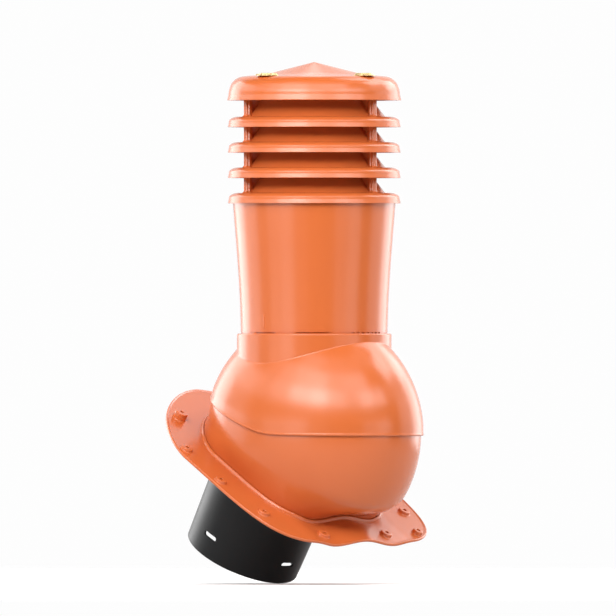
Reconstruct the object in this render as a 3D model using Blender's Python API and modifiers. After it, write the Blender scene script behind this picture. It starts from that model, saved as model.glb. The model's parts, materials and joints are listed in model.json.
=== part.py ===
"""Roof vent pipe for a pitched roof, in metres, +Z up, +X down the slope.

The origin is on the underside of the flange, on the plane of symmetry. The pipe axis is vertical. The dome
is a barrel of revolution about the level tilt axis, which runs along Y through the pipe axis.
"""

import math

import bmesh
import bpy
import numpy as np
from mathutils import Matrix, Vector

# Seat on the roof
ROOF_PITCH = math.radians(33.0)
SEAT_TO_AXIS = 0.190
FLANGE_THICKNESS = 0.003
PIVOT_OVER_FLANGE = 0.0787
TOUCH_GAP = 0.0003

# Flange outline, in the plane of the roof, measured down the slope from the pipe axis
FLANGE_CENTRE = -0.093
FLANGE_UP_LENGTH = 0.157
FLANGE_DOWN_LENGTH = 0.2028
FLANGE_HALF_WIDTH = 0.1588
FLANGE_UP_EXPONENT = 1.6
FLANGE_DOWN_EXPONENT = 4.8
FLANGE_EDGE_ROUND = 0.0012
WAVE_HEIGHT = 0.0036
WAVE_PITCH = 0.110
WAVE_START = -0.060
WAVE_FULL = 0.070
WAVE_SIDE_START = 0.057
WAVE_SIDE_END = 0.107

# Foot of the dome and the bead around it
FOOT_CENTRE = -0.0903
FOOT_UP_LENGTH = 0.1073
FOOT_DOWN_LENGTH = 0.1506
FOOT_HALF_WIDTH = 0.1059
FOOT_UP_EXPONENT = 1.6
FOOT_DOWN_EXPONENT = 4.6
BEAD_WIDTH = 0.008
BEAD_HEIGHT = 0.006
GROOVE_HEIGHT = 0.0015

# Lower dome, which stands inside the hood with a gap to slide in
DOME_HOOD_GAP = 0.0012
BASE_WALL = 0.0025
FLOOR_THICKNESS = 0.003
DOME_RIM_HEIGHT = 0.067
DOME_RIM_FALL = 0.278
TUCK_START = 0.735
TUCK_SWING = 0.115
BASE_COLUMNS = 48

# Screw bosses: down the slope, across it, height, radius, and whether both sides have one
BOSS_HOLE_RADIUS = 0.0026
TALL_BOSS = (0.010, 0.009)
LOW_BOSS = (0.0040, 0.0080)
MID_BOSS = (0.0055, 0.0070)
BOSSES = (
    (-0.181, 0.091, TALL_BOSS, (1, -1)),
    (-0.108, 0.1425, LOW_BOSS, (1, -1)),
    (-0.034, 0.145, LOW_BOSS, (1, -1)),
    (0.0405, 0.1315, LOW_BOSS, (1, -1)),
    (0.0865, 0.0585, LOW_BOSS, (1, -1)),
    (0.0895, 0.112, MID_BOSS, (1,)),
)
BOSS_SIDES = 8

# Spigot
SPIGOT_LEAN = math.radians(29.3)
SPIGOT_CENTRE = -0.0725
SPIGOT_END_RADIUS = 0.075
SPIGOT_ROOT_RADIUS = 0.0787
SPIGOT_WALL = 0.003
SPIGOT_LENGTH = 0.133
SPIGOT_FIT = 0.0005
SPIGOT_RING_REACH = 0.009
SPIGOT_RING_THICKNESS = 0.003
SPIGOT_SEAT_MARGIN = 0.002
SLOT_LENGTH = 0.022
SLOT_WIDTH = 0.006
SLOT_TO_END = 0.028
SPIGOT_SIDES = 30

# Hood
HOOD_RADIUS = 0.1536
HOOD_HALF_WIDTH = 0.1229
HOOD_WALL = 0.0022
HOOD_RIM_HEIGHT = -0.0026
HOOD_RIM_RISE_START = 0.0045
HOOD_RIM_RISE = 0.36
HOOD_RIM_BLEND = 0.045
HOOD_SEGMENTS = 36
HOOD_RINGS = 18

# Collar, with the ledge that the pipe stands on
COLLAR_TOP = 0.1286
COLLAR_ROUND = 0.0024
COLLAR_WALL = 0.0044
COLLAR_LEDGE_HEIGHT = 0.100
COLLAR_LEDGE_THICKNESS = 0.004
COLLAR_LEDGE_REACH = 0.0056

# Outer pipe
PIPE_FOOT_RADIUS = 0.0941
PIPE_WAIST_TOP = 0.165
PIPE_WAIST_RADIUS = 0.0947
PIPE_MID_HEIGHT = 0.2138
PIPE_MID_RADIUS = 0.0978
PIPE_HEAD_RADIUS = 0.1043
PIPE_WALL = 0.003
PIPE_FIT = 0.0005
PIPE_SHOULDER = 0.0052

# Louvre rings
RING_COUNT = 4
RING_FIRST_HEIGHT = 0.2952
RING_PITCH = 0.0325
RING_HEIGHT = 0.0134
RING_RADIUS = 0.1107
RING_TOP_RADIUS = 0.101
RING_SIDE_HEIGHT = 0.006
RING_LIP_FLARE = 0.0013
RING_WALL = 0.0025
BLADE_OUTER_RADIUS = 0.091
BLADE_INNER_RADIUS = 0.072
BLADE_RISE = 0.0241
POST_COUNT = 3
POST_FIRST_ANGLE = math.radians(6.5)
POST_PLACE_RADIUS = 0.092
POST_RADIUS = 0.0060
POST_SIDES = 8
FIN_THICKNESS = 0.0026
TURN_STEPS = 28

# Rain cap: the gap under its rim, then each part's rise from the one below it
CAP_RIM_OVER_RING = 0.0209
CAP_RIM_RADIUS = 0.1114
CAP_SIDE_RADIUS = 0.1095
CAP_SIDE_RISE = 0.014
CAP_SHOULDER_RADIUS = 0.1055
CAP_SHOULDER_RISE = 0.0095
CAP_TOP_RADIUS = 0.0947
CAP_TOP_RISE = 0.0063
CAP_CONE_RADIUS = 0.064
CAP_MARGIN_RISE = 0.0035
CAP_CONE_RISE = 0.0167
CAP_WALL = 0.0025
CAP_TIP_RADIUS = 0.005

# Cap screws
SCREW_COUNT = 4
SCREW_PLACE_RADIUS = 0.087
SCREW_FLANGE_RADIUS = 0.014
SCREW_FLANGE_THICKNESS = 0.0018
SCREW_HEAD_RADIUS = 0.0115
SCREW_HEAD_HEIGHT = 0.0040
SCREW_SHANK_RADIUS = 0.0020
SCREW_SHANK_LENGTH = 0.011
SCREW_BOSS_RADIUS = 0.0038
SCREW_BOSS_DEPTH = 0.012
SCREW_SPOT_RADIUS = 0.015

SMOOTH_ANGLE = math.radians(35.0)
MERGE = 0.00001

# Places worked out from the sizes above
AXIS_X = SEAT_TO_AXIS * math.cos(ROOF_PITCH)
ROOF_AT_AXIS = -SEAT_TO_AXIS * math.sin(ROOF_PITCH) + FLANGE_THICKNESS / math.cos(ROOF_PITCH)
PIVOT = Vector((AXIS_X, 0.0, ROOF_AT_AXIS + PIVOT_OVER_FLANGE))
SPIGOT_TO_ROOF = ROOF_PITCH - SPIGOT_LEAN
DOME_RADIUS = HOOD_RADIUS - HOOD_WALL - DOME_HOOD_GAP
DOME_HALF_WIDTH = HOOD_HALF_WIDTH - HOOD_WALL - DOME_HOOD_GAP
TOP_RING_HEIGHT = RING_FIRST_HEIGHT + (RING_COUNT - 1) * RING_PITCH
CAP_RIM_HEIGHT = TOP_RING_HEIGHT + RING_HEIGHT + CAP_RIM_OVER_RING
CAP_SIDE_HEIGHT = CAP_RIM_HEIGHT + CAP_SIDE_RISE
CAP_SHOULDER_HEIGHT = CAP_SIDE_HEIGHT + CAP_SHOULDER_RISE
CAP_TOP_HEIGHT = CAP_SHOULDER_HEIGHT + CAP_TOP_RISE
CAP_CONE_HEIGHT = CAP_TOP_HEIGHT + CAP_MARGIN_RISE
CAP_APEX = CAP_CONE_HEIGHT + CAP_CONE_RISE


def clear_scene():
    """Takes the start-up objects out of the scene."""
    for obj in list(bpy.data.objects):
        bpy.data.objects.remove(obj, do_unlink=True)


def new_collection(name, hidden=False):
    """A collection of the scene; a hidden one holds the cutters."""
    collection = bpy.data.collections.new(name)
    bpy.context.scene.collection.children.link(collection)
    collection.hide_render = hidden
    return collection


def plastic(name, colour, roughness, metallic=0.0):
    """A Principled material with the piece's colour."""
    material = bpy.data.materials.new(name)
    material.use_nodes = True
    shader = material.node_tree.nodes["Principled BSDF"]
    shader.inputs["Base Color"].default_value = (*colour, 1.0)
    shader.inputs["Roughness"].default_value = roughness
    shader.inputs["Metallic"].default_value = metallic
    return material


def object_from_bmesh(name, bm, collection, material=None, location=(0.0, 0.0, 0.0)):
    """Turns a bmesh into an object of the collection."""
    mesh = bpy.data.meshes.new(name)
    bm.normal_update()
    bm.to_mesh(mesh)
    bm.free()
    obj = bpy.data.objects.new(name, mesh)
    obj.location = location
    collection.objects.link(obj)
    if material:
        mesh.materials.append(material)
        mesh.shade_smooth()
        mesh.set_sharp_from_angle(angle=SMOOTH_ANGLE)
    else:
        obj.hide_render = True
        obj.display_type = "WIRE"
    return obj


def baked(obj):
    """Replaces the object's mesh by what its modifiers make of it."""
    graph = bpy.context.evaluated_depsgraph_get()
    mesh = bpy.data.meshes.new_from_object(obj.evaluated_get(graph))
    obj.modifiers.clear()
    obj.data = mesh
    mesh.shade_smooth()
    mesh.set_sharp_from_angle(angle=SMOOTH_ANGLE)
    return obj


def combine(obj, other, operation):
    """Joins or cuts the object with another, which is then removed."""
    modifier = obj.modifiers.new(operation.lower(), "BOOLEAN")
    modifier.operation = operation
    modifier.solver = "EXACT"
    modifier.object = other
    bpy.context.view_layer.update()
    baked(obj)
    bpy.data.objects.remove(other, do_unlink=True)
    return obj


def turned(name, profile, collection, material, steps=TURN_STEPS, closed=True):
    """A solid turned about the pipe axis: the profile runs down the outer side, as (radius, height) pairs."""
    bm = bmesh.new()
    points = [bm.verts.new((radius, 0.0, height)) for radius, height in profile]
    for low, high in zip(points, points[1:]):
        bm.edges.new((low, high))
    if closed:
        bm.edges.new((points[-1], points[0]))
    obj = object_from_bmesh(name, bm, collection, material, PIVOT)
    screw = obj.modifiers.new("turn", "SCREW")
    screw.axis = "Z"
    screw.steps = steps
    screw.render_steps = steps
    screw.use_merge_vertices = True
    screw.merge_threshold = MERGE
    bpy.context.view_layer.update()
    return baked(obj)


def rod(name, radius, low, high, sides, collection, place=(0.0, 0.0)):
    """A straight rod along Z, used to join or to cut."""
    bm = bmesh.new()
    bmesh.ops.create_cone(bm, cap_ends=True, segments=sides, radius1=radius, radius2=radius, depth=high - low)
    bmesh.ops.translate(bm, verts=bm.verts, vec=(place[0], place[1], (low + high) / 2))
    return object_from_bmesh(name, bm, collection)


def on_roof(down, across, height):
    """World points at a distance down the slope, across it and above the flange's top face."""
    x = AXIS_X + down * math.cos(ROOF_PITCH) + height * math.sin(ROOF_PITCH)
    z = ROOF_AT_AXIS - down * math.sin(ROOF_PITCH) + height * math.cos(ROOF_PITCH)
    return np.stack(np.broadcast_arrays(x, across, z), axis=-1)


def roof_matrix(down, across, height):
    """A frame on the roof whose Z is square to it."""
    place = Vector(on_roof(down, across, height))
    return Matrix.Translation(place) @ Matrix.Rotation(ROOF_PITCH, 4, "Y")


def rounded_outline(angle, up_length, down_length, half_width, up_exponent, down_exponent):
    """A superellipse by polar angle, with its own length and squareness up the slope and down it."""
    up_slope = np.cos(angle) < 0
    half_length = np.where(up_slope, up_length, down_length)
    exponent = np.where(up_slope, up_exponent, down_exponent)
    reach = (np.abs(np.cos(angle) / half_length) ** exponent
             + np.abs(np.sin(angle) / half_width) ** exponent) ** (-1 / exponent)
    return reach * np.cos(angle), reach * np.sin(angle)


def foot_outline(angle, grow):
    """The dome's foot, squarer down the slope and rounder up it, grown outwards."""
    down, across = rounded_outline(angle, FOOT_UP_LENGTH + grow, FOOT_DOWN_LENGTH + grow,
                                   FOOT_HALF_WIDTH + grow, FOOT_UP_EXPONENT, FOOT_DOWN_EXPONENT)
    return FOOT_CENTRE + down, across


def flange_outline(angle, grow):
    """The flange's edge, grown outwards."""
    down, across = rounded_outline(angle, FLANGE_UP_LENGTH + grow, FLANGE_DOWN_LENGTH + grow,
                                   FLANGE_HALF_WIDTH + grow, FLANGE_UP_EXPONENT, FLANGE_DOWN_EXPONENT)
    return FLANGE_CENTRE + down, across


def smooth_step(value):
    """Rises smoothly from 0 to 1."""
    value = np.clip(value, 0.0, 1.0)
    return value * value * (3 - 2 * value)


def wave(down, across):
    """Height of the flange's waves, which run along the slope and fade out up it and at its sides."""
    strength = smooth_step((down - WAVE_START) / (WAVE_FULL - WAVE_START))
    middle = 1 - smooth_step((np.abs(across) - WAVE_SIDE_START) / (WAVE_SIDE_END - WAVE_SIDE_START))
    return WAVE_HEIGHT * strength * middle * np.cos(2 * math.pi * across / WAVE_PITCH)


def dome_rim(angle, shrink):
    """The sloping upper rim of the lower dome, about the pivot."""
    radius = DOME_RADIUS - shrink
    half_width = DOME_HALF_WIDTH - shrink
    cosine, sine = np.cos(angle), np.sin(angle)
    square = cosine**2 * (1 + DOME_RIM_FALL**2) / radius**2 + sine**2 / half_width**2
    linear = -2 * DOME_RIM_HEIGHT * DOME_RIM_FALL * cosine / radius**2
    constant = DOME_RIM_HEIGHT**2 / radius**2 - 1
    reach = (-linear + np.sqrt(linear**2 - 4 * square * constant)) / (2 * square)
    return np.stack([reach * cosine, reach * sine, DOME_RIM_HEIGHT - DOME_RIM_FALL * reach * cosine], axis=-1)


def dome_row(angle, share, shrink, foot_height):
    """One row of the lower dome, at a share of the way from its rim to its foot.

    The row follows the barrel, as a direction turned evenly from rim to foot, and then moves smoothly in
    or out to the foot's outline.
    """
    axes = np.array([DOME_RADIUS - shrink, DOME_HALF_WIDTH - shrink, DOME_RADIUS - shrink])
    start = dome_rim(angle, shrink) / axes
    down, across = foot_outline(angle, -shrink)
    foot = (on_roof(down, across, foot_height + wave(down, across)) - np.array(PIVOT)) / axes
    foot_reach = np.linalg.norm(foot, axis=-1, keepdims=True)
    end = foot / foot_reach
    turn = np.arccos(np.clip((start * end).sum(axis=-1, keepdims=True), -1, 1))
    way = (np.sin((1 - share) * turn) * start + np.sin(share * turn) * end) / np.sin(turn)
    begin = (TUCK_START - TUCK_SWING * np.cos(angle))[:, None]
    reach = 1 + (foot_reach - 1) * smooth_step((share - begin) / (1 - begin))
    return np.array(PIVOT) + way * reach * axes


def flange_row(angle, share, height):
    """One row of the flange, at a share of the way from the bead to the edge."""
    inner_down, inner_across = foot_outline(angle, BEAD_WIDTH)
    outer_down, outer_across = flange_outline(angle, -FLANGE_EDGE_ROUND)
    down = inner_down + share * (outer_down - inner_down)
    across = inner_across + share * (outer_across - inner_across)
    return on_roof(down, across, height + wave(down, across))


def spigot_hole_row(angle, height, grow):
    """One row around the hole that the spigot stands in."""
    radius = SPIGOT_ROOT_RADIUS + grow
    down = SPIGOT_CENTRE - height * math.tan(SPIGOT_TO_ROOF)
    down = down + radius * np.cos(angle) / math.cos(SPIGOT_TO_ROOF)
    return on_roof(down, radius * np.sin(angle), height)


def base_rows(angle):
    """The base's section at each angle, once round: dome outside, bead, flange, underside, floor, dome inside."""
    rows = [dome_row(angle, share, 0.0, GROOVE_HEIGHT)
            for share in (0.0, 0.25, 0.48, 0.66, 0.8, 0.91, 1.0)]
    for grow, height in ((0.2, 0.8), (0.5, 1.0), (0.8, 0.75)):
        down, across = foot_outline(angle, grow * BEAD_WIDTH)
        rows.append(on_roof(down, across, height * BEAD_HEIGHT + wave(down, across)))
    rows += [flange_row(angle, share, 0.0) for share in (0.0, 0.5, 1.0)]
    down, across = flange_outline(angle, 0.0)
    rows.append(on_roof(down, across, -FLANGE_THICKNESS / 2 + wave(down, across)))
    rows += [flange_row(angle, share, -FLANGE_THICKNESS) for share in (1.0, 0.5, 0.0)]
    floor = FLOOR_THICKNESS - FLANGE_THICKNESS
    seat = SPIGOT_RING_REACH + SPIGOT_SEAT_MARGIN
    rows += [spigot_hole_row(angle, height, grow) for height, grow in (
        (-FLANGE_THICKNESS, seat), (-FLANGE_THICKNESS, SPIGOT_FIT), (floor, SPIGOT_FIT), (floor, seat))]
    rows += [dome_row(angle, share, BASE_WALL, FLOOR_THICKNESS - FLANGE_THICKNESS)
             for share in (1.0, 0.9, 0.7, 0.4, 0.0)]
    return rows


def looped_grid(name, rows, collection, material):
    """A closed body from rows of points, closed along each row and from the last row back to the first."""
    bm = bmesh.new()
    grid = [[bm.verts.new(point) for point in row] for row in rows]
    for row, after in zip(grid, grid[1:] + grid[:1]):
        for i in range(len(row)):
            j = (i + 1) % len(row)
            bm.faces.new((row[i], after[i], after[j], row[j]))
    bmesh.ops.triangulate(bm, faces=bm.faces)
    bmesh.ops.recalc_face_normals(bm, faces=bm.faces)
    return object_from_bmesh(name, bm, collection, material)


def add_boss(base, down, across, size, cutters):
    """Joins one screw boss to the flange and drills it."""
    height, radius = size
    lift = float(wave(down, across))
    place = roof_matrix(down, across, lift)
    boss = rod("boss", radius, -FLANGE_THICKNESS * 0.7, height, BOSS_SIDES, cutters)
    hole = rod("boss_hole", BOSS_HOLE_RADIUS, -2 * FLANGE_THICKNESS, 2 * height, BOSS_SIDES, cutters)
    boss.matrix_world = place
    hole.matrix_world = place
    combine(base, boss, "UNION")
    combine(base, hole, "DIFFERENCE")


def make_base(parts, cutters, material):
    """The flange with its waves and bosses, the bead and the lower dome, as one moulding."""
    angle = (np.arange(BASE_COLUMNS) + 0.5) * 2 * math.pi / BASE_COLUMNS
    base = looped_grid("roof_base", base_rows(angle), parts, material)
    for down, across, size, sides in BOSSES:
        for side in sides:
            add_boss(base, down, side * across, size, cutters)
    return base


def spigot_point_row(angle, radius, height):
    """Points of the spigot on the plane at this height over the flange's top face, along its leaning axis."""
    slant = height * math.tan(SPIGOT_TO_ROOF)
    down = SPIGOT_CENTRE - slant + radius * np.cos(angle) / math.cos(SPIGOT_TO_ROOF)
    return on_roof(down, radius * np.sin(angle), height)


def spigot_end_row(angle, radius):
    """Points of the spigot's square-cut end."""
    root = np.array(on_roof(SPIGOT_CENTRE, 0.0, 0.0))
    along = np.array([-math.sin(SPIGOT_LEAN), 0.0, -math.cos(SPIGOT_LEAN)])
    side = np.array([math.cos(SPIGOT_LEAN), 0.0, -math.sin(SPIGOT_LEAN)])
    across = np.array([0.0, 1.0, 0.0])
    centre = root + along * SPIGOT_LENGTH
    return centre + radius * (np.cos(angle)[:, None] * side + np.sin(angle)[:, None] * across)


def make_spigot(parts, cutters, material):
    """The duct spigot: a leaning, slightly tapered tube with a ring that seats on the base's floor."""
    angle = np.linspace(0.0, 2 * math.pi, SPIGOT_SIDES, endpoint=False)
    seat = FLOOR_THICKNESS - FLANGE_THICKNESS + TOUCH_GAP
    top = seat + SPIGOT_RING_THICKNESS
    inner_root = SPIGOT_ROOT_RADIUS - SPIGOT_WALL
    rows = [
        spigot_point_row(angle, SPIGOT_ROOT_RADIUS + SPIGOT_RING_REACH, top),
        spigot_point_row(angle, SPIGOT_ROOT_RADIUS + SPIGOT_RING_REACH, seat),
        spigot_point_row(angle, SPIGOT_ROOT_RADIUS, seat),
        spigot_end_row(angle, SPIGOT_END_RADIUS),
        spigot_end_row(angle, SPIGOT_END_RADIUS - SPIGOT_WALL),
        spigot_point_row(angle, inner_root, top),
    ]
    spigot = looped_grid("spigot", rows, parts, material)
    end_to_slot = SPIGOT_LENGTH - SLOT_TO_END
    centre = Vector(on_roof(SPIGOT_CENTRE, 0.0, 0.0))
    centre += Vector((-math.sin(SPIGOT_LEAN), 0.0, -math.cos(SPIGOT_LEAN))) * end_to_slot
    for quarter in (0, 1):
        bm = bmesh.new()
        bmesh.ops.create_cube(bm, size=1.0)
        bmesh.ops.scale(bm, verts=bm.verts, vec=(3 * SPIGOT_ROOT_RADIUS, SLOT_LENGTH, SLOT_WIDTH))
        ends = [edge for edge in bm.edges if abs(edge.verts[0].co.x - edge.verts[1].co.x) > SLOT_LENGTH]
        bmesh.ops.bevel(bm, geom=ends, offset=0.45 * SLOT_WIDTH, segments=2, profile=0.5, affect="EDGES")
        slot = object_from_bmesh("slot", bm, cutters)
        slot.matrix_world = (Matrix.Translation(centre) @ Matrix.Rotation(SPIGOT_LEAN, 4, "Y")
                             @ Matrix.Rotation(quarter * math.pi / 2, 4, "Z"))
        combine(spigot, slot, "DIFFERENCE")
    return spigot


def barrel(name, shrink, collection, material=None):
    """A barrel of revolution about the tilt axis, the hood's outside made smaller."""
    bm = bmesh.new()
    bmesh.ops.create_uvsphere(bm, u_segments=HOOD_SEGMENTS, v_segments=HOOD_RINGS, radius=1.0)
    bmesh.ops.rotate(bm, verts=bm.verts, cent=(0, 0, 0), matrix=Matrix.Rotation(math.pi / 2, 3, "X"))
    radius = HOOD_RADIUS - shrink
    bmesh.ops.scale(bm, verts=bm.verts, vec=(radius, HOOD_HALF_WIDTH - shrink, radius))
    return object_from_bmesh(name, bm, collection, material, PIVOT)


def hood_rim_height(x):
    """Height of the hood's lower rim: level down the slope, rising up it, with a soft bend between."""
    rise = HOOD_RIM_RISE_START - HOOD_RIM_RISE * x - HOOD_RIM_HEIGHT
    return HOOD_RIM_HEIGHT + (rise + math.sqrt(rise * rise + (HOOD_RIM_BLEND * HOOD_RIM_RISE) ** 2 / 4)) / 2


def below_rim(cutters):
    """Everything below the hood's rim, as one prism across the slope."""
    reach = 1.3 * HOOD_RADIUS
    bm = bmesh.new()
    points = [(x, hood_rim_height(x)) for x in np.linspace(-reach, reach, 27)]
    points += [(reach, -2 * reach), (-reach, -2 * reach)]
    face = bm.faces.new([bm.verts.new((x, -reach, z)) for x, z in points])
    grown = bmesh.ops.extrude_face_region(bm, geom=[face])
    moved = [item for item in grown["geom"] if isinstance(item, bmesh.types.BMVert)]
    bmesh.ops.translate(bm, verts=moved, vec=(0.0, 2 * reach, 0.0))
    bmesh.ops.recalc_face_normals(bm, faces=bm.faces)
    return object_from_bmesh("below_rim", bm, cutters, None, PIVOT)


def make_hood(parts, cutters, material):
    """The upper dome, a shell over the lower one, with the collar that holds the pipe."""
    bore = PIPE_FOOT_RADIUS + PIPE_FIT
    outside = bore + COLLAR_WALL
    ledge_low = COLLAR_LEDGE_HEIGHT - COLLAR_LEDGE_THICKNESS
    hood = barrel("hood", 0.0, parts, material)
    combine(hood, barrel("hood_inside", HOOD_WALL, cutters), "DIFFERENCE")
    combine(hood, below_rim(cutters), "DIFFERENCE")
    middle = bore + COLLAR_WALL / 2
    opening = rod("collar_opening", middle, 0.0, 2 * HOOD_RADIUS, TURN_STEPS, cutters)
    opening.location = PIVOT
    combine(hood, opening, "DIFFERENCE")
    collar = turned("collar", [
        (outside - COLLAR_ROUND, COLLAR_TOP),
        (outside, COLLAR_TOP - COLLAR_ROUND),
        (outside, ledge_low),
        (bore - COLLAR_LEDGE_REACH, ledge_low),
        (bore - COLLAR_LEDGE_REACH, COLLAR_LEDGE_HEIGHT),
        (bore, COLLAR_LEDGE_HEIGHT),
        (bore, COLLAR_TOP),
    ], cutters, None)
    return combine(hood, collar, "UNION")


def make_pipe(parts, material):
    """The waisted outer pipe, which stands on the collar's ledge and carries the first ring."""
    foot = COLLAR_LEDGE_HEIGHT + TOUCH_GAP
    head = RING_FIRST_HEIGHT + RING_HEIGHT - RING_WALL - TOUCH_GAP
    outer = [
        (PIPE_HEAD_RADIUS - PIPE_SHOULDER, head),
        (PIPE_HEAD_RADIUS, head - PIPE_SHOULDER),
        (PIPE_HEAD_RADIUS, RING_FIRST_HEIGHT),
        (PIPE_MID_RADIUS, PIPE_MID_HEIGHT),
        (PIPE_WAIST_RADIUS, PIPE_WAIST_TOP),
        (PIPE_FOOT_RADIUS, COLLAR_TOP),
        (PIPE_FOOT_RADIUS, foot),
    ]
    inner = [(radius - PIPE_WALL, height) for radius, height in reversed(outer[1:])]
    inner[-1] = (PIPE_HEAD_RADIUS - PIPE_SHOULDER - PIPE_WALL, head)
    return turned("outer_pipe", outer + inner, parts, material)


def ring_profile():
    """The ring's section from the tip of its blade down its outside and back up inside."""
    blade_run = BLADE_OUTER_RADIUS - BLADE_INNER_RADIUS
    blade_length = math.hypot(blade_run, BLADE_RISE)
    in_step = RING_WALL * BLADE_RISE / blade_length
    down_step = RING_WALL * blade_run / blade_length
    tip_height = RING_HEIGHT + BLADE_RISE
    ceiling = RING_HEIGHT - RING_WALL
    under_blade = BLADE_OUTER_RADIUS - in_step + (RING_WALL - down_step) * blade_run / BLADE_RISE
    corner = RING_TOP_RADIUS + 0.71 * (RING_RADIUS - RING_TOP_RADIUS)
    corner_height = RING_SIDE_HEIGHT + 0.71 * (RING_HEIGHT - RING_SIDE_HEIGHT)
    return [
        (BLADE_INNER_RADIUS, tip_height),
        (BLADE_OUTER_RADIUS, RING_HEIGHT),
        (RING_TOP_RADIUS, RING_HEIGHT),
        (corner, corner_height),
        (RING_RADIUS - RING_LIP_FLARE, RING_SIDE_HEIGHT),
        (RING_RADIUS, 0.0),
        (RING_RADIUS - RING_WALL, 0.0),
        (RING_RADIUS - RING_LIP_FLARE - RING_WALL, RING_SIDE_HEIGHT),
        (RING_TOP_RADIUS, ceiling),
        (under_blade, ceiling),
        (BLADE_INNER_RADIUS - in_step, tip_height - down_step),
    ]


def add_post(ring, angle, base_height, post_top, cutters):
    """Joins one post and the fin behind it to a ring."""
    root = base_height + RING_HEIGHT - RING_WALL / 2
    post = rod("post", POST_RADIUS, root, post_top, POST_SIDES, cutters, (POST_PLACE_RADIUS, 0.0))
    fin_top = min(post_top, base_height + RING_HEIGHT + BLADE_RISE - RING_WALL)
    slope = (BLADE_OUTER_RADIUS - BLADE_INNER_RADIUS) / BLADE_RISE
    inset = RING_WALL / 2
    tip = BLADE_OUTER_RADIUS - inset - (fin_top - base_height - RING_HEIGHT) * slope
    foot = BLADE_OUTER_RADIUS - inset + (RING_WALL / 2) * slope
    outline = [(foot, root), (POST_PLACE_RADIUS, root), (POST_PLACE_RADIUS, fin_top), (tip, fin_top)]
    bm = bmesh.new()
    face = bm.faces.new([bm.verts.new((x, -FIN_THICKNESS / 2, z)) for x, z in outline])
    grown = bmesh.ops.extrude_face_region(bm, geom=[face])
    moved = [item for item in grown["geom"] if isinstance(item, bmesh.types.BMVert)]
    bmesh.ops.translate(bm, verts=moved, vec=(0.0, FIN_THICKNESS, 0.0))
    bmesh.ops.recalc_face_normals(bm, faces=bm.faces)
    fin = object_from_bmesh("fin", bm, cutters)
    for piece in (post, fin):
        piece.matrix_world = Matrix.Translation(PIVOT) @ Matrix.Rotation(angle, 4, "Z")
    combine(ring, post, "UNION")
    combine(ring, fin, "UNION")


def make_ring(index, parts, cutters, material):
    """One louvre ring with its blade, its posts and their fins. The top ring's posts reach the cap."""
    base_height = RING_FIRST_HEIGHT + index * RING_PITCH
    profile = [(radius, base_height + height) for radius, height in ring_profile()]
    ring = turned(f"louvre_ring_{index + 1}", profile, parts, material)
    if index == RING_COUNT - 1:
        post_top = cap_underside(POST_PLACE_RADIUS + POST_RADIUS) - TOUCH_GAP
    else:
        post_top = base_height + RING_PITCH + RING_HEIGHT - RING_WALL - TOUCH_GAP
    for post in range(POST_COUNT):
        add_post(ring, POST_FIRST_ANGLE + post * 2 * math.pi / POST_COUNT, base_height, post_top, cutters)
    return ring


def cap_underside(radius):
    """Height of the cap's inside between its cone and its shoulder, lowest over a facet."""
    share = (radius - CAP_CONE_RADIUS) / (CAP_TOP_RADIUS - CAP_CONE_RADIUS)
    if radius > CAP_TOP_RADIUS:
        share = (radius - CAP_TOP_RADIUS) / (CAP_SHOULDER_RADIUS - CAP_TOP_RADIUS)
        return CAP_TOP_HEIGHT + share * (CAP_SHOULDER_HEIGHT - CAP_TOP_HEIGHT) - CAP_WALL - 0.001
    return CAP_CONE_HEIGHT + share * (CAP_TOP_HEIGHT - CAP_CONE_HEIGHT) - CAP_WALL


def screw_angle(index):
    """Angle of a cap screw about the pipe axis."""
    return index * 2 * math.pi / SCREW_COUNT


def screw_place(index):
    """Where a cap screw stands, about the pipe axis."""
    angle = screw_angle(index)
    return SCREW_PLACE_RADIUS * math.cos(angle), SCREW_PLACE_RADIUS * math.sin(angle)


def screw_seat():
    """Height of the flat spot under a screw, where the cap's top is lowest over the spot."""
    share = (SCREW_PLACE_RADIUS - CAP_CONE_RADIUS) / (CAP_TOP_RADIUS - CAP_CONE_RADIUS)
    return CAP_CONE_HEIGHT + share * (CAP_TOP_HEIGHT - CAP_CONE_HEIGHT) + 0.0002


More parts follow.
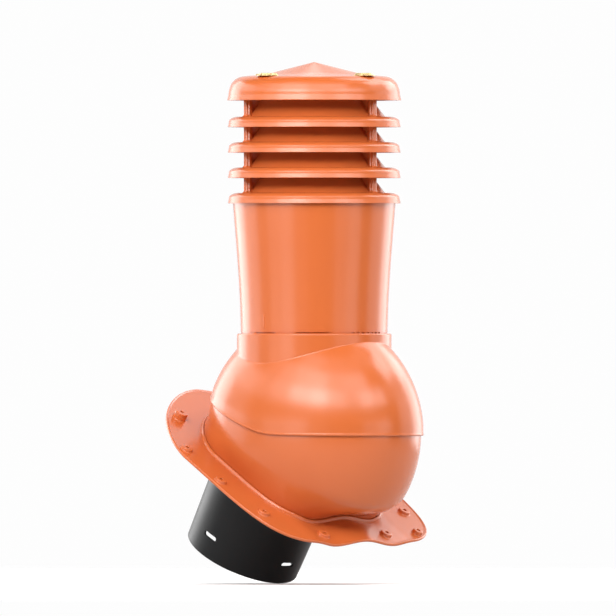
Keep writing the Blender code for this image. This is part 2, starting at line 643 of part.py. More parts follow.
def make_cap(parts, cutters, material):
    """The rain cap: a low cone with a nearly flat margin, a round shoulder and a deep rim."""
    slope = (CAP_APEX - CAP_CONE_HEIGHT) / CAP_CONE_RADIUS
    outer = [
        (0.0, CAP_APEX - CAP_TIP_RADIUS * slope / 2),
        (CAP_TIP_RADIUS, CAP_APEX - CAP_TIP_RADIUS * slope),
        (CAP_CONE_RADIUS, CAP_CONE_HEIGHT),
        (CAP_TOP_RADIUS, CAP_TOP_HEIGHT),
        (CAP_SHOULDER_RADIUS, CAP_SHOULDER_HEIGHT),
        (CAP_SIDE_RADIUS, CAP_SIDE_HEIGHT),
        (CAP_RIM_RADIUS, CAP_RIM_HEIGHT),
    ]
    inner = [
        (CAP_RIM_RADIUS - CAP_WALL, CAP_RIM_HEIGHT),
        (CAP_SIDE_RADIUS - CAP_WALL, CAP_SIDE_HEIGHT),
        (CAP_SHOULDER_RADIUS - CAP_WALL * 0.8, CAP_SHOULDER_HEIGHT - CAP_WALL * 0.6),
        (CAP_TOP_RADIUS, CAP_TOP_HEIGHT - CAP_WALL),
        (CAP_CONE_RADIUS, CAP_CONE_HEIGHT - CAP_WALL),
        (0.0, outer[0][1] - CAP_WALL),
    ]
    cap = turned("rain_cap", outer + inner, parts, material, closed=False)
    seat = screw_seat()
    for index in range(SCREW_COUNT):
        place = screw_place(index)
        boss = rod("screw_boss", SCREW_BOSS_RADIUS, seat - CAP_WALL - SCREW_BOSS_DEPTH, seat - CAP_WALL / 2,
                   POST_SIDES, cutters, place)
        hole = rod("screw_hole", SCREW_SHANK_RADIUS + TOUCH_GAP, seat - SCREW_SHANK_LENGTH - 2 * TOUCH_GAP,
                   seat + CAP_WALL, POST_SIDES, cutters, place)
        spot = rod("screw_spot", SCREW_SPOT_RADIUS, seat, seat + CAP_WALL, SPIGOT_SIDES // 2, cutters, place)
        for piece, operation in ((boss, "UNION"), (spot, "DIFFERENCE"), (hole, "DIFFERENCE")):
            piece.location = PIVOT
            combine(cap, piece, operation)
    return cap


def make_screw(index, parts, material):
    """One cap screw: shank, flange and a domed head."""
    seat = screw_seat() + TOUCH_GAP
    top = seat + SCREW_FLANGE_THICKNESS + SCREW_HEAD_HEIGHT
    profile = [
        (0.0, top),
        (SCREW_HEAD_RADIUS * 0.8, top),
        (SCREW_HEAD_RADIUS, top - SCREW_HEAD_HEIGHT * 0.3),
        (SCREW_HEAD_RADIUS, seat + SCREW_FLANGE_THICKNESS),
        (SCREW_FLANGE_RADIUS, seat + SCREW_FLANGE_THICKNESS * 0.5),
        (SCREW_FLANGE_RADIUS, seat),
        (SCREW_SHANK_RADIUS, seat),
        (SCREW_SHANK_RADIUS, seat - SCREW_SHANK_LENGTH),
        (0.0, seat - SCREW_SHANK_LENGTH),
    ]
    screw = turned(f"cap_screw_{index + 1}", profile, parts, material, steps=12, closed=False)
    x, y = screw_place(index)
    screw.location = PIVOT + Vector((x, y, 0.0))
    return screw


def main():
    """Builds the whole vent."""
    clear_scene()
    parts = new_collection("roof_vent_pipe")
    cutters = new_collection("cutters", hidden=True)
    terracotta = plastic("terracotta_plastic", (0.80, 0.235, 0.098), 0.38)
    black = plastic("black_plastic", (0.018, 0.018, 0.019), 0.42)
    zinc = plastic("yellow_zinc", (0.78, 0.56, 0.22), 0.35, 1.0)
    make_base(parts, cutters, terracotta)
    make_spigot(parts, cutters, black)
    make_hood(parts, cutters, terracotta)
    make_pipe(parts, terracotta)
    for index in range(RING_COUNT):
        make_ring(index, parts, cutters, terracotta)
    make_cap(parts, cutters, terracotta)
    for index in range(SCREW_COUNT):
        make_screw(index, parts, zinc)


main()
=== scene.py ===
"""Looks of the roof vent pipe: moulded terracotta shells, louvres and cap, a black spigot and zinc screws.

Lengths are in metres and angles in radians. Heights are measured from the tilt axis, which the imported
model's joint gives, so every piece sits on the frame. The flange is laid out in the plane of the roof:
down the slope, across it and square to it.
"""

from __future__ import annotations

import json
import logging
import math
from dataclasses import dataclass
from enum import Enum
from typing import Callable, ClassVar, Sequence

import bmesh
import bpy
import numpy as np
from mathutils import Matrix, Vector

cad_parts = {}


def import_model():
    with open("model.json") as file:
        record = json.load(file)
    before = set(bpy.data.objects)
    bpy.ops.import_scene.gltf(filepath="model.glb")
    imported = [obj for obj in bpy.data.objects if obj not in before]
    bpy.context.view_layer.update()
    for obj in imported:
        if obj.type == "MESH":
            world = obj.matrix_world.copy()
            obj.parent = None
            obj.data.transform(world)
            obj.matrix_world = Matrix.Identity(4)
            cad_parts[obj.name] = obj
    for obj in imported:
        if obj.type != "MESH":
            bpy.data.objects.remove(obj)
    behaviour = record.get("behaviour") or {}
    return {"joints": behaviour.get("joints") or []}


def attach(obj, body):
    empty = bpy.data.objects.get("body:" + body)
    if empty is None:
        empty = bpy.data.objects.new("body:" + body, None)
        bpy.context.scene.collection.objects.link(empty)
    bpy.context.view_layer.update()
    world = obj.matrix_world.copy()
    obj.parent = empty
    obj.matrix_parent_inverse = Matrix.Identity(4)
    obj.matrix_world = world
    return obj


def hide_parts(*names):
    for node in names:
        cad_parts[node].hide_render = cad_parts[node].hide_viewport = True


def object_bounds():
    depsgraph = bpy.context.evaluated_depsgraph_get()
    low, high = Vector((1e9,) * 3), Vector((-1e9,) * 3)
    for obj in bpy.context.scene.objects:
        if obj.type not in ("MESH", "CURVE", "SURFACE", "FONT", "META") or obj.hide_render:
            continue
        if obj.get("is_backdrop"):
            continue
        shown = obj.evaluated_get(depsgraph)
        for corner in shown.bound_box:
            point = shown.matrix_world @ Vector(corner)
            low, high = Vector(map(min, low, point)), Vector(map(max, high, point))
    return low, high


LOG = logging.getLogger("roof_vent")
Array = np.ndarray
MM = 0.001
# Steps of a full turn, the bend that still shades smoothly, and the distance at which points merge
ROUND = 192
SHARP_ANGLE = math.radians(38.0)
MERGE = 0.0002 * MM


class Body(Enum):
    """The two rigid bodies of the vent."""

    BASE = "base"
    UPPER = "upper"


class Slot(Enum):
    """Material slots of the record."""

    TERRACOTTA = "terracotta_plastic"
    BLACK = "black_plastic"
    ZINC = "yellow_zinc"


def linear(hex_colour: str) -> tuple[float, float, float, float]:
    """Turns an sRGB hex colour to linear RGBA.

    Args:
        hex_colour: Six hex digits with a leading #.

    Returns:
        Linear red, green and blue, and an alpha of 1.
    """
    channels = np.array([int(hex_colour[i:i + 2], 16) for i in (1, 3, 5)]) / 255.0
    low, high = channels / 12.92, ((channels + 0.055) / 1.055) ** 2.4
    red, green, blue = np.where(channels <= 0.04045, low, high)
    return float(red), float(green), float(blue), 1.0


def add_node(tree: bpy.types.NodeTree, kind: str, settings: dict | None = None,
             inputs: dict | None = None) -> bpy.types.Node:
    """Adds a shader node, sets its properties, and fills or links its inputs.

    Args:
        tree: The node tree.
        kind: The node's class name.
        settings: Properties to set.
        inputs: Socket name or index to a value, or to an output socket to link from.

    Returns:
        The new node.
    """
    node = tree.nodes.new(kind)
    for name, value in (settings or {}).items():
        setattr(node, name, value)
    for name, value in (inputs or {}).items():
        if isinstance(value, bpy.types.NodeSocket):
            tree.links.new(value, node.inputs[name])
        else:
            node.inputs[name].default_value = value
    return node


def scale_for(size_mm: float) -> float:
    """Noise scale whose features are about this many millimetres across, on Object coordinates."""
    return 1.0 / (size_mm * MM)


def shader_of(material: bpy.types.Material
              ) -> tuple[bpy.types.NodeTree, bpy.types.Node, bpy.types.NodeSocket]:
    """Turns a material's nodes on.

    Args:
        material: The material.

    Returns:
        Its node tree, its shader and a socket that gives Object coordinates.
    """
    material.use_nodes = True
    tree = material.node_tree
    where = add_node(tree, "ShaderNodeTexCoord").outputs["Object"]
    return tree, tree.nodes["Principled BSDF"], where


@dataclass(frozen=True)
class MouldedPlastic:
    """Injection-moulded polyolefin: full colour right through, a satin skin with a fine spark-eroded grain.

    The eye sees broad soft reflections, a faint mottling from the flow of the melt, and a grain that is
    only just there at arm's length.
    """

    name: str
    colour: str
    flow_colour: str
    roughness: float
    roughness_swing: float
    flow_mm: float = 60.0
    grain_mm: float = 1.1
    grain_height_mm: float = 0.012
    ior: float = 1.56

    def material(self) -> bpy.types.Material:
        """Builds the node material.

        Returns:
            The finished material.
        """
        material = bpy.data.materials.new(self.name)
        tree, shader, where = shader_of(material)
        flow = add_node(tree, "ShaderNodeTexNoise", inputs={
            "Vector": where, "Scale": scale_for(self.flow_mm), "Detail": 4.0, "Roughness": 0.55})
        mottled = add_node(tree, "ShaderNodeMix", {"data_type": "RGBA"}, {
            0: flow.outputs["Fac"], 6: linear(self.colour), 7: linear(self.flow_colour)})
        skin = add_node(tree, "ShaderNodeMapRange", inputs={
            "Value": flow.outputs["Fac"], "From Min": 0.3, "From Max": 0.7,
            "To Min": self.roughness - self.roughness_swing,
            "To Max": self.roughness + self.roughness_swing})
        # The real grain is about 0.1 mm and would not show, so it is drawn ten times coarser.
        grain = add_node(tree, "ShaderNodeTexNoise", inputs={
            "Vector": where, "Scale": scale_for(self.grain_mm), "Detail": 2.0, "Roughness": 0.5})
        bump = add_node(tree, "ShaderNodeBump", inputs={
            "Height": grain.outputs["Fac"], "Distance": self.grain_height_mm * MM, "Strength": 1.0})
        tree.links.new(mottled.outputs[2], shader.inputs["Base Color"])
        tree.links.new(skin.outputs["Result"], shader.inputs["Roughness"])
        tree.links.new(bump.outputs["Normal"], shader.inputs["Normal"])
        shader.inputs["IOR"].default_value = self.ior
        return material


@dataclass(frozen=True)
class ZincPlate:
    """Yellow-passivated zinc on pressed steel: a warm straw metal with a greenish and rosy drift."""

    name: str = "yellow_zinc_plate"
    straw: str = "#ecd391"
    drift: str = "#e6c193"
    roughness: float = 0.27
    drift_mm: float = 9.0

    def material(self) -> bpy.types.Material:
        """Builds the node material.

        Returns:
            The finished material.
        """
        material = bpy.data.materials.new(self.name)
        tree, shader, where = shader_of(material)
        drift = add_node(tree, "ShaderNodeTexNoise", inputs={
            "Vector": where, "Scale": scale_for(self.drift_mm), "Detail": 3.0})
        tint = add_node(tree, "ShaderNodeMix", {"data_type": "RGBA"}, {
            0: drift.outputs["Fac"], 6: linear(self.straw), 7: linear(self.drift)})
        wear = add_node(tree, "ShaderNodeMapRange", inputs={
            "Value": drift.outputs["Fac"], "To Min": self.roughness - 0.06, "To Max": self.roughness + 0.08})
        tree.links.new(tint.outputs[2], shader.inputs["Base Color"])
        tree.links.new(wear.outputs["Result"], shader.inputs["Roughness"])
        shader.inputs["Metallic"].default_value = 1.0
        return material


TERRACOTTA = MouldedPlastic("terracotta_polypropylene", "#ca6734", "#c76331", 0.23, 0.02)
BLACK = MouldedPlastic("black_polypropylene", "#131314", "#171718", 0.38, 0.03, grain_mm=0.9, ior=1.33)
ZINC = ZincPlate()


@dataclass
class Surface:
    """A mesh in the making: points and four-cornered faces."""

    points: Array
    faces: Array

    @classmethod
    def grid(cls, points: Array, wrap_rows: bool = False, wrap_columns: bool = True) -> "Surface":
        """Joins a grid of points by quads, turned so that the volume inside comes out positive.

        Args:
            points: Rows by columns by 3.
            wrap_rows: Whether the last row joins the first.
            wrap_columns: Whether the last column joins the first.

        Returns:
            The surface.
        """
        rows, columns = points.shape[:2]
        i, j = np.meshgrid(np.arange(rows - (not wrap_rows)), np.arange(columns - (not wrap_columns)),
                           indexing="ij")
        down, right = (i + 1) % rows, (j + 1) % columns
        faces = np.stack([i * columns + j, i * columns + right, down * columns + right, down * columns + j],
                         axis=-1).reshape(-1, 4)
        surface = cls(points.reshape(-1, 3), faces)
        return surface if surface.volume() >= 0 else cls(surface.points, faces[:, ::-1])

    def volume(self) -> float:
        """Signed volume, as the sum of the corner tetrahedra of both halves of each face.

        Returns:
            The volume, positive where the faces point outwards.
        """
        middle = self.points.mean(axis=0)
        a, b, c, d = (self.points[self.faces[:, k]] - middle for k in range(4))
        return float((a * np.cross(b, c)).sum() + (a * np.cross(c, d)).sum()) / 6.0

    @classmethod
    def join(cls, surfaces: Sequence["Surface"]) -> "Surface":
        """Puts several surfaces in one mesh.

        Args:
            surfaces: The surfaces.

        Returns:
            Their union as separate shells.
        """
        starts = np.cumsum([0] + [len(s.points) for s in surfaces[:-1]])
        return cls(np.concatenate([s.points for s in surfaces]),
                   np.concatenate([s.faces + start for s, start in zip(surfaces, starts)]))

    def moved(self, change: Callable[[Array], Array]) -> "Surface":
        """The surface with its points mapped."""
        return Surface(change(self.points), self.faces)

    def turned_by(self, angle: float) -> "Surface":
        """The surface turned about the pipe axis."""
        return self.moved(lambda spot: spot @ turn_about(angle))

    def make(self, name: str, material: bpy.types.Material) -> bpy.types.Object:
        """Makes the object, at the origin, with coincident points merged and smooth shading.

        Args:
            name: The piece's name.
            material: Its finish.

        Returns:
            The object.
        """
        mesh = bpy.data.meshes.new(name)
        mesh.vertices.add(len(self.points))
        mesh.vertices.foreach_set("co", self.points.astype(np.float32).ravel())
        mesh.loops.add(self.faces.size)
        mesh.loops.foreach_set("vertex_index", self.faces.astype(np.int32).ravel())
        mesh.polygons.add(len(self.faces))
        mesh.polygons.foreach_set("loop_start", np.arange(0, self.faces.size, 4, dtype=np.int32))
        mesh.update(calc_edges=True)
        grown = bmesh.new()
        grown.from_mesh(mesh)
        bmesh.ops.remove_doubles(grown, verts=grown.verts, dist=MERGE)
        bmesh.ops.dissolve_degenerate(grown, edges=grown.edges, dist=MERGE)
        grown.to_mesh(mesh)
        grown.free()
        mesh.materials.append(material)
        mesh.shade_smooth()
        mesh.set_sharp_from_angle(angle=SHARP_ANGLE)
        piece = bpy.data.objects.new(name, mesh)
        bpy.context.scene.collection.objects.link(piece)
        return piece


def rounded(corners: Sequence[tuple[float, float, float]] | Array, closed: bool = True, steps: int = 7,
            support: float = 0.35 * MM) -> Array:
    """A polyline with its corners rounded off.

    Each corner is replaced by a parabola, tangent to both sides at the corner's own distance from it:
    (1-t)^2 before + 2t(1-t) corner + t^2 after. Long straight runs get a point near each end, which
    keeps their shading flat.

    Args:
        corners: (radius, height, rounding distance) of each corner.
        closed: Whether the line closes on itself.
        steps: Points on each rounded corner.
        support: Distance of the extra points from the ends of a straight run.

    Returns:
        Points by 2.
    """
    spots = np.array([corner[:2] for corner in corners], float)
    count = len(spots)
    pieces: list[Array] = []
    for index, (radius, height, fillet) in enumerate(corners):
        here = spots[index]
        if fillet <= 0 or (not closed and index in (0, count - 1)):
            pieces.append(here[None])
            continue
        sides = [spots[(index + step) % count] - here for step in (-1, 1)]
        ends = [here + side / np.linalg.norm(side) * min(fillet, 0.49 * np.linalg.norm(side))
                for side in sides]
        t = np.linspace(0.0, 1.0, steps)[:, None]
        pieces.append((1 - t) ** 2 * ends[0] + 2 * t * (1 - t) * here + t ** 2 * ends[1])
    path = np.concatenate(pieces)
    after = np.roll(path, -1, axis=0) if closed else np.concatenate([path[1:], path[-1:]])
    run = np.linalg.norm(after - path, axis=1, keepdims=True)
    share = np.where(run > 6 * support, support / np.maximum(run, support), 0.0)
    three = np.stack([path, path + (after - path) * share, after - (after - path) * share], axis=1)
    keep = np.stack([np.ones(len(path), bool), share[:, 0] > 0, share[:, 0] > 0], axis=1)
    return three.reshape(-1, 2)[keep.ravel()]


def bearings(count: int) -> Array:
    """Equal steps of a full turn."""
    return np.arange(count) * 2 * math.pi / count


def spun(radius: Array, height: Array, angle: Array) -> Array:
    """Points (r cos a, r sin a, z), with a column for each angle."""
    return np.stack(np.broadcast_arrays(radius * np.cos(angle), radius * np.sin(angle), height), axis=-1)


def turn_about(angle: float) -> Array:
    """The matrix that turns row vectors about the pipe axis."""
    cosine, sine = math.cos(angle), math.sin(angle)
    return np.array([[cosine, sine, 0.0], [-sine, cosine, 0.0], [0.0, 0.0, 1.0]])


def turned(profile: Array, columns: int = ROUND, closed: bool = True) -> Surface:
    """A profile turned about its own axis.

    Args:
        profile: Points by (radius, height).
        columns: Steps round the axis.
        closed: Whether the profile is a loop.

    Returns:
        The surface.
    """
    return Surface.grid(spun(profile[:, :1], profile[:, 1:], bearings(columns)), wrap_rows=closed)


def smooth_step(value: Array | float) -> Array:
    """Rises smoothly from 0 to 1: 3v^2 - 2v^3, held outside that range."""
    value = np.clip(value, 0.0, 1.0)
    return value * value * (3 - 2 * value)


@dataclass
class Site:
    """Where the vent stands: the tilt axis from the frame, and the plane of the roof."""

    pivot: Array
    pitch: float = math.radians(33.0)
    flange_thickness: float = 3.0 * MM
    seat_to_axis: float = 190.0 * MM

    @property
    def roof_height(self) -> float:
        """Height of the flange's top face on the pipe axis."""
        return -self.seat_to_axis * math.sin(self.pitch) + self.flange_thickness / math.cos(self.pitch)

    def on_roof(self, down: Array | float, across: Array | float, height: Array | float) -> Array:
        """World points at a distance down the slope, across it and above the flange's top face.

        Args:
            down: Distance down the slope from the pipe axis.
            across: Distance across it.
            height: Height over the flange's top face.

        Returns:
            World points.
        """
        x = self.pivot[0] + down * math.cos(self.pitch) + height * math.sin(self.pitch)
        z = self.roof_height - down * math.sin(self.pitch) + height * math.cos(self.pitch)
        return np.stack(np.broadcast_arrays(x, across, z), axis=-1)

    def from_pivot(self, points: Array) -> Array:
        """Points measured from the tilt axis, in the world."""
        return points + self.pivot


def cut_by(piece: bpy.types.Object, tools: Sequence[Surface]) -> None:
    """Cuts shapes out of a piece with an exact Boolean and applies it.

    Args:
        piece: The piece.
        tools: Closed shapes that don't touch each other.
    """
    tool = Surface.join(tools).make("cutting_tool", piece.data.materials[0])
    cut = piece.modifiers.new("cut", "BOOLEAN")
    cut.operation, cut.solver, cut.object = "DIFFERENCE", "EXACT", tool
    bpy.context.view_layer.update()
    result = bpy.data.meshes.new_from_object(piece.evaluated_get(bpy.context.evaluated_depsgraph_get()))
    piece.modifiers.clear()
    piece.data = result
    bpy.data.objects.remove(tool, do_unlink=True)
    result.shade_smooth()
    result.set_sharp_from_angle(angle=SHARP_ANGLE)


@dataclass(frozen=True)
class Shape:
    """A piece before it is made: its name, surface, the node it replaces and the batches of cuts in it."""

    name: str
    surface: Surface
    node: str | None = None
    cuts: Sequence[Sequence[Surface]] = ()


@dataclass
class Assembly:
    """A sub-assembly, whose pieces ride on one body and share one material slot."""

    rides: ClassVar[Body] = Body.UPPER
    kind: ClassVar[Slot] = Slot.TERRACOTTA
    site: Site

    def shapes(self) -> list[Shape]:
        """The pieces, which each sub-assembly states."""
        raise NotImplementedError

    def build(self, material: bpy.types.Material) -> list[bpy.types.Object]:
        """Makes the pieces, cuts them, attaches each to its body and hides the model's node that it replaces.

        Args:
            material: Their finish.

        Returns:
            The pieces.
        """
        made = []
        for shape in self.shapes():
            piece = shape.surface.make(shape.name, material)
            for tools in shape.cuts:
                cut_by(piece, tools)
            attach(piece, self.rides.value)
            if shape.node:
                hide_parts(shape.node)
            made.append(piece)
        return made


@dataclass
class Spigot(Assembly):
    """The black duct spigot: a leaning tube with a slight draft, a seating ring and four slots."""

    rides = Body.BASE
    kind = Slot.BLACK
    lean: float = math.radians(29.3)
    centre: float = -72.5 * MM
    end_radius: float = 75.0 * MM
    root_radius: float = 78.7 * MM
    wall: float = 3.0 * MM
    length: float = 133.0 * MM
    ring_reach: float = 9.0 * MM
    ring_thickness: float = 3.0 * MM
    ring_lift: float = 0.3 * MM
    slot_length: float = 22.0 * MM
    slot_width: float = 6.0 * MM
    slot_to_end: float = 28.0 * MM
    lip_round: float = 0.7 * MM

    def place(self, points: Array) -> Array:
        """Points of the spigot's own frame, with z down its axis from the roof, in the world.

        Args:
            points: Points in the spigot's frame.

        Returns:
            World points.
        """
        side = np.array([math.cos(self.lean), 0.0, -math.sin(self.lean)])
        along = np.array([-math.sin(self.lean), 0.0, -math.cos(self.lean)])
        return self.site.on_roof(self.centre, 0.0, 0.0) + points @ np.stack([side, [0.0, 1.0, 0.0], along])

    def tube(self) -> Surface:
        """The tube: its section turned about its own axis, with the ring's rows sheared onto the roof plane.

        Returns:
            The tube with its seating ring.
        """
        ring, top = self.root_radius + self.ring_reach, -self.ring_lift - self.ring_thickness
        section = rounded([
            (ring, top, 0.5 * MM), (ring, -self.ring_lift, 0.5 * MM),
            (self.root_radius, -self.ring_lift, 0.3 * MM), (self.end_radius, self.length, self.lip_round),
            (self.end_radius - self.wall, self.length, self.lip_round),
            (self.root_radius - self.wall, top, 0.5 * MM)])
        angle = bearings(ROUND)
        radius, depth = section[:, :1], section[:, 1:]
        skew = math.tan(self.site.pitch - self.lean) * (1 - smooth_step(depth / self.length))
        points = spun(radius, depth + skew * radius * np.cos(angle), angle)
        return Surface.grid(self.place(points), wrap_rows=True)

    def slot(self, quarter: int) -> Surface:
        """A round-ended bar right through the tube, closed by nearly pointed ends, which cuts two slots.

        Args:
            quarter: Which quarter turn the bar lies at.

        Returns:
            The bar.
        """
        angle = bearings(32)
        straight = (self.slot_length - self.slot_width) / 2
        long_way = self.slot_width / 2 * np.cos(angle) + straight * np.sign(np.cos(angle) + 1e-9)
        short_way = self.slot_width / 2 * np.sin(angle)
        scale = np.array([1e-6, 1.0, 1.0, 1e-6])[:, None]
        way = np.array([-1.0, -1.0, 1.0, 1.0])[:, None] * 1.4 * self.root_radius
        middle = self.length - self.slot_to_end
        bar = np.stack(np.broadcast_arrays(way, scale * long_way, middle + scale * short_way), axis=-1)
        return Surface.grid(self.place(bar @ turn_about(quarter * math.pi / 2)))

    def shapes(self) -> list[Shape]:
        """The slotted tube."""
        return [Shape("duct_spigot", self.tube(), "spigot", [[self.slot(0)], [self.slot(1)]])]


@dataclass(frozen=True)
class Outline:
    """A superellipse in the roof's plane, with its own length and squareness up the slope and down it."""

    centre: float
    up: float
    down: float
    half_width: float
    exponents: tuple[float, float]

    def at(self, angle: Array, grow: Array | float) -> tuple[Array, Array]:
        """The outline grown outwards, |down/a|^n + |across/b|^n = 1 by polar angle, 0 down the slope.

        Args:
            angle: Polar angles.
            grow: How far to grow it.

        Returns:
            Distances down and across.
        """
        up_slope = np.cos(angle) < 0
        half_length = np.where(up_slope, self.up, self.down) + grow
        exponent = np.where(up_slope, *self.exponents)
        reach = (np.abs(np.cos(angle) / half_length) ** exponent
                 + np.abs(np.sin(angle) / (self.half_width + grow)) ** exponent) ** (-1 / exponent)
        return self.centre + reach * np.cos(angle), reach * np.sin(angle)


@dataclass
class RoofBase(Assembly):
    """Flange, bead, lower dome and screw bosses, one moulding in the plane of the roof."""

    rides = Body.BASE
    dome_radius: float = 150.2 * MM
    dome_half_width: float = 119.5 * MM
    rim_height: float = 67.0 * MM
    rim_fall: float = 0.278
    wall: float = 2.5 * MM
    foot: Outline = Outline(-90.3 * MM, 103.9 * MM, 147.2 * MM, 102.5 * MM, (1.6, 4.6))
    edge: Outline = Outline(-93.0 * MM, 155.3 * MM, 202.8 * MM, 158.8 * MM, (1.6, 4.8))
    tuck_start: float = 0.735
    tuck_swing: float = 0.115
    bead_width: float = 4.2 * MM
    bead_height: float = 3.9 * MM
    groove_height: float = 2.6 * MM
    wave_height: float = 3.6 * MM
    wave_pitch: float = 110.0 * MM
    wave_start: float = -60.0 * MM
    wave_full: float = 70.0 * MM
    wave_side_start: float = 57.0 * MM
    wave_side_end: float = 107.0 * MM
    hole_radius: float = 79.2 * MM
    hole_centre: float = -72.5 * MM
    columns: int = 400
    edge_round: float = 1.2 * MM
    lip_width: float = 2.6 * MM
    lip_height: float = 1.0 * MM
    boss_hole: float = 2.6 * MM
    tall: tuple[float, float] = (10.0 * MM, 9.0 * MM)
    low: tuple[float, float] = (4.0 * MM, 8.0 * MM)
    middling: tuple[float, float] = (5.5 * MM, 7.0 * MM)
    boss_skirt: float = 2.0 * MM
    boss_sink: float = 1.6 * MM
    drill_reach: float = 6.0 * MM

    def bosses(self) -> list[tuple[float, float, float, float]]:
        """Each boss as distance down the slope, distance across, height and radius.

        Returns:
            The bosses, both sides.
        """
        pairs = [(-181, 91, self.tall), (-108, 142.5, self.low), (-34, 145, self.low),
                 (40.5, 131.5, self.low), (86.5, 58.5, self.low)]
        both = [(down * MM, side * across * MM, *size) for down, across, size in pairs for side in (1, -1)]
        return both + [(89.5 * MM, 112 * MM, *self.middling)]

    def wave(self, down: Array, across: Array) -> Array:
        """Flange waves along the slope: a cosine across it that fades out up it and at the sides.

        Args:
            down: Distances down the slope.
            across: Distances across it.

        Returns:
            Heights of the waves.
        """
        strength = smooth_step((down - self.wave_start) / (self.wave_full - self.wave_start))
        middle = 1 - smooth_step((np.abs(across) - self.wave_side_start)
                                 / (self.wave_side_end - self.wave_side_start))
        return self.wave_height * strength * middle * np.cos(2 * math.pi * across / self.wave_pitch)

    def dome(self, angle: Array, share: Array, shrink: float, foot_height: float) -> Array:
        """Rows of the dome from rim to foot.

        A direction from the pivot is turned evenly from the sloping rim to the foot, on the barrel scaled
        to a unit sphere; near the foot its length moves smoothly from the barrel to the foot's outline.

        Args:
            angle: Angles round, as columns.
            share: Shares of the way from rim to foot, as rows.
            shrink: How much smaller than the outside.
            foot_height: Height of the foot over the flange.

        Returns:
            Rows by columns by 3, in the world.
        """
        radius, half_width = self.dome_radius - shrink, self.dome_half_width - shrink
        axes = np.array([radius, half_width, radius])
        cosine, sine = np.cos(angle), np.sin(angle)
        square = cosine**2 * (1 + self.rim_fall**2) / radius**2 + sine**2 / half_width**2
        slant = -2 * self.rim_height * self.rim_fall * cosine / radius**2
        flat = self.rim_height**2 / radius**2 - 1
        reach = (-slant + np.sqrt(slant**2 - 4 * square * flat)) / (2 * square)
        rim = spun(reach, self.rim_height - self.rim_fall * reach * cosine, angle)
        start = rim / axes
        down, across = self.foot.at(angle, -shrink)
        foot_height = foot_height + self.wave(down, across)
        end = (self.site.on_roof(down, across, foot_height) - self.site.pivot) / axes
        length = np.linalg.norm(end, axis=-1)
        end = end / length[:, None]
        turn = np.arccos(np.clip((start * end).sum(axis=-1), -1, 1))
        part = share[:, None]
        way = (np.sin((1 - part) * turn)[..., None] * start + np.sin(part * turn)[..., None] * end)
        way = way / np.sin(turn)[None, :, None]
        begin = self.tuck_start - self.tuck_swing * np.cos(angle)
        stretch = 1 + (length - 1) * smooth_step((part - begin) / (1 - begin))
        return self.site.pivot + way * stretch[..., None] * axes

    def flange_rows(self, angle: Array, share: Array, height: float) -> Array:
        """Rows of the flange between bead and edge, lifted by the waves.

        Args:
            angle: Polar angles.
            share: Shares of the way from bead to edge.
            height: Height of the face.

        Returns:
            Rows by columns by 3, in the world.
        """
        inner = self.foot.at(angle, self.bead_width)
        outer = self.edge.at(angle, -self.edge_round - self.lip_width)
        part = share[:, None]
        down = inner[0] + part * (outer[0] - inner[0])
        across = inner[1] + part * (outer[1] - inner[1])
        return self.site.on_roof(down, across, height + self.wave(down, across))

    def bead_rows(self, angle: Array) -> Array:
        """Rows over the bead: a rounded rib, its height a power of a sine across its width.

        Args:
            angle: Polar angles.

        Returns:
            Rows by columns by 3, in the world.
        """
        across_bead = np.linspace(0.05, 0.98, 15)
        rise = np.sin(np.pi * (0.16 + 0.84 * across_bead)) ** 0.8 * self.bead_height
        down, across = self.foot.at(angle, (across_bead * self.bead_width)[:, None])
        return self.site.on_roof(down, across, rise[:, None] + self.wave(down, across))

    def edge_rows(self, angle: Array) -> Array:
        """Rows round the flange's edge: a slim lip that rises smoothly, then half an ellipse to the seat.

        Args:
            angle: Polar angles.

        Returns:
            Rows by columns by 3, in the world.
        """
        turn = np.linspace(0.0, np.pi, 9)[1:-1, None]
        along = np.linspace(0.0, 1.0, 9)[1:, None]
        half = (self.site.flange_thickness + self.lip_height) / 2
        grow = np.concatenate([-self.edge_round - self.lip_width * (1 - along),
                               self.edge_round * (np.sin(turn) - 1)])
        rise = np.concatenate([self.lip_height * smooth_step(along),
                               self.lip_height - half + half * np.cos(turn)])
        down, across = self.edge.at(angle, grow)
        return self.site.on_roof(down, across, rise + self.wave(down, across))

    def body(self) -> Surface:
        """The whole moulding as one section that changes round the pipe and closes on itself.

        Returns:
            The moulding without its bosses.
        """
        angle = bearings(self.columns) + math.pi / self.columns
        under = -self.site.flange_thickness
        hole_down = self.hole_centre + self.hole_radius * np.cos(angle)
        hole_across = self.hole_radius * np.sin(angle)
        hole = np.stack([self.site.on_roof(hole_down, hole_across, height) for height in (under, 0.0)])
        inner = self.dome(angle, np.linspace(1.0, 0.0, 24), self.wall, 0.0)
        rows = [self.dome(angle, np.linspace(0.0, 1.0, 56), 0.0, self.groove_height), self.bead_rows(angle),
                self.flange_rows(angle, np.linspace(0.0, 1.0, 24), 0.0), self.edge_rows(angle),
                self.flange_rows(angle, np.linspace(1.0, 0.0, 24), under), hole, inner]
        return Surface.grid(np.concatenate(rows), wrap_rows=True)

    def on_flange(self, local: Array, down: float, across: float) -> Array:
        """Points of a boss, with z square to the roof, in the world."""
        lift = self.wave(np.array(down), np.array(across))
        return self.site.on_roof(down + local[..., 0], across + local[..., 1], lift + local[..., 2])

